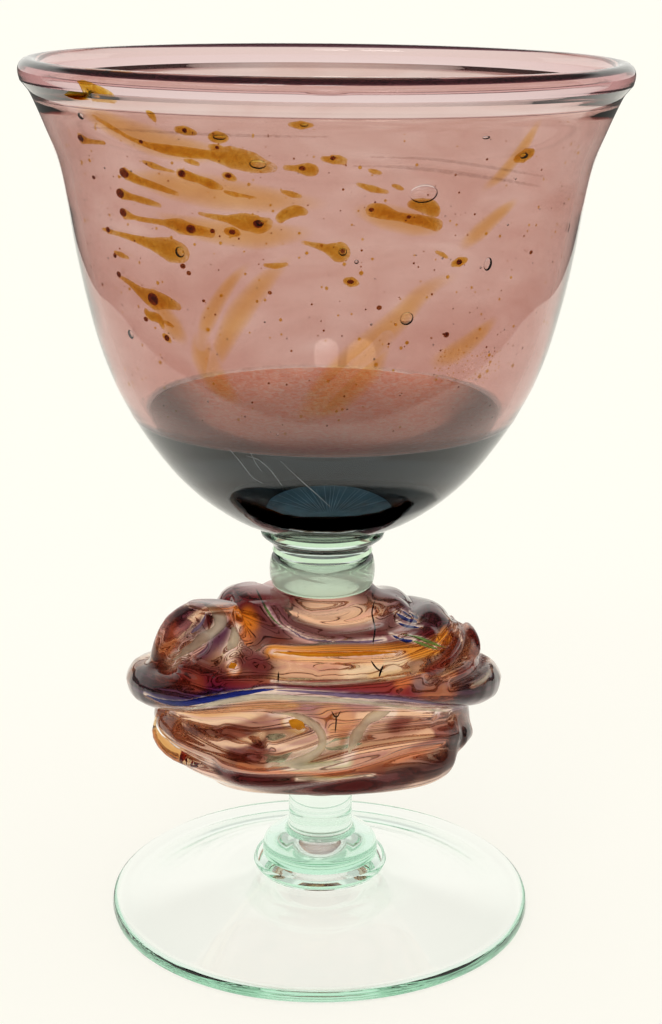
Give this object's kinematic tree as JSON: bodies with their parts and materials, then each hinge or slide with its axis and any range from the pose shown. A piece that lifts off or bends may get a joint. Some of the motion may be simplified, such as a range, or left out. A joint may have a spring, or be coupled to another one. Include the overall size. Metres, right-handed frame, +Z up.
{
  "type": "glass chalice",
  "caption": "Hand-blown glass goblet: wide everted amethyst bowl on a solid smoky base, a large wound and folded amber knop on a clear green stem, and a spun disc foot.",
  "frame": {"origin": "centre of the foot, on the plane that the chalice stands on", "axes": "+Z up through the stem to the mouth, -Y towards the side that the picture shows, +X to the right of that side"},
  "size_m": [0.119, 0.119, 0.1802],
  "materials": {
    "green_glass": "clear soda-lime glass with a faint green tint, fire polished",
    "amethyst_glass": "transparent amethyst glass with amber frit streaks and small bubbles",
    "smoke_glass": "transparent smoke-grey glass, fire polished",
    "lip_glass": "transparent dark amethyst glass, fire polished",
    "core_glass": "transparent amber glass with amethyst, cream and blue veils inside",
    "trail_glass": "transparent dark amethyst and amber glass, drawn and fire polished",
    "amber_glass": "transparent amber glass, drawn and fire polished"
  },
  "bodies": {
    "root": {"foot": "green_glass", "foot_button": "green_glass", "lower_stem": "green_glass", "knop_core": "core_glass", "knop_crown_trail": "amber_glass", "knop_shoulder_trail": "amber_glass", "knop_right_fold": "trail_glass", "knop_waist_trail": "trail_glass", "knop_base_strand": "trail_glass", "knop_ridge_trail": "trail_glass", "knop_ear_fold": "trail_glass", "knop_side_loop": "amber_glass", "stem_bead": "green_glass", "stem_collar": "green_glass", "bowl_base": "smoke_glass", "bowl_wall": "amethyst_glass", "lip_wrap": "lip_glass"}
  },
  "joints": []
}
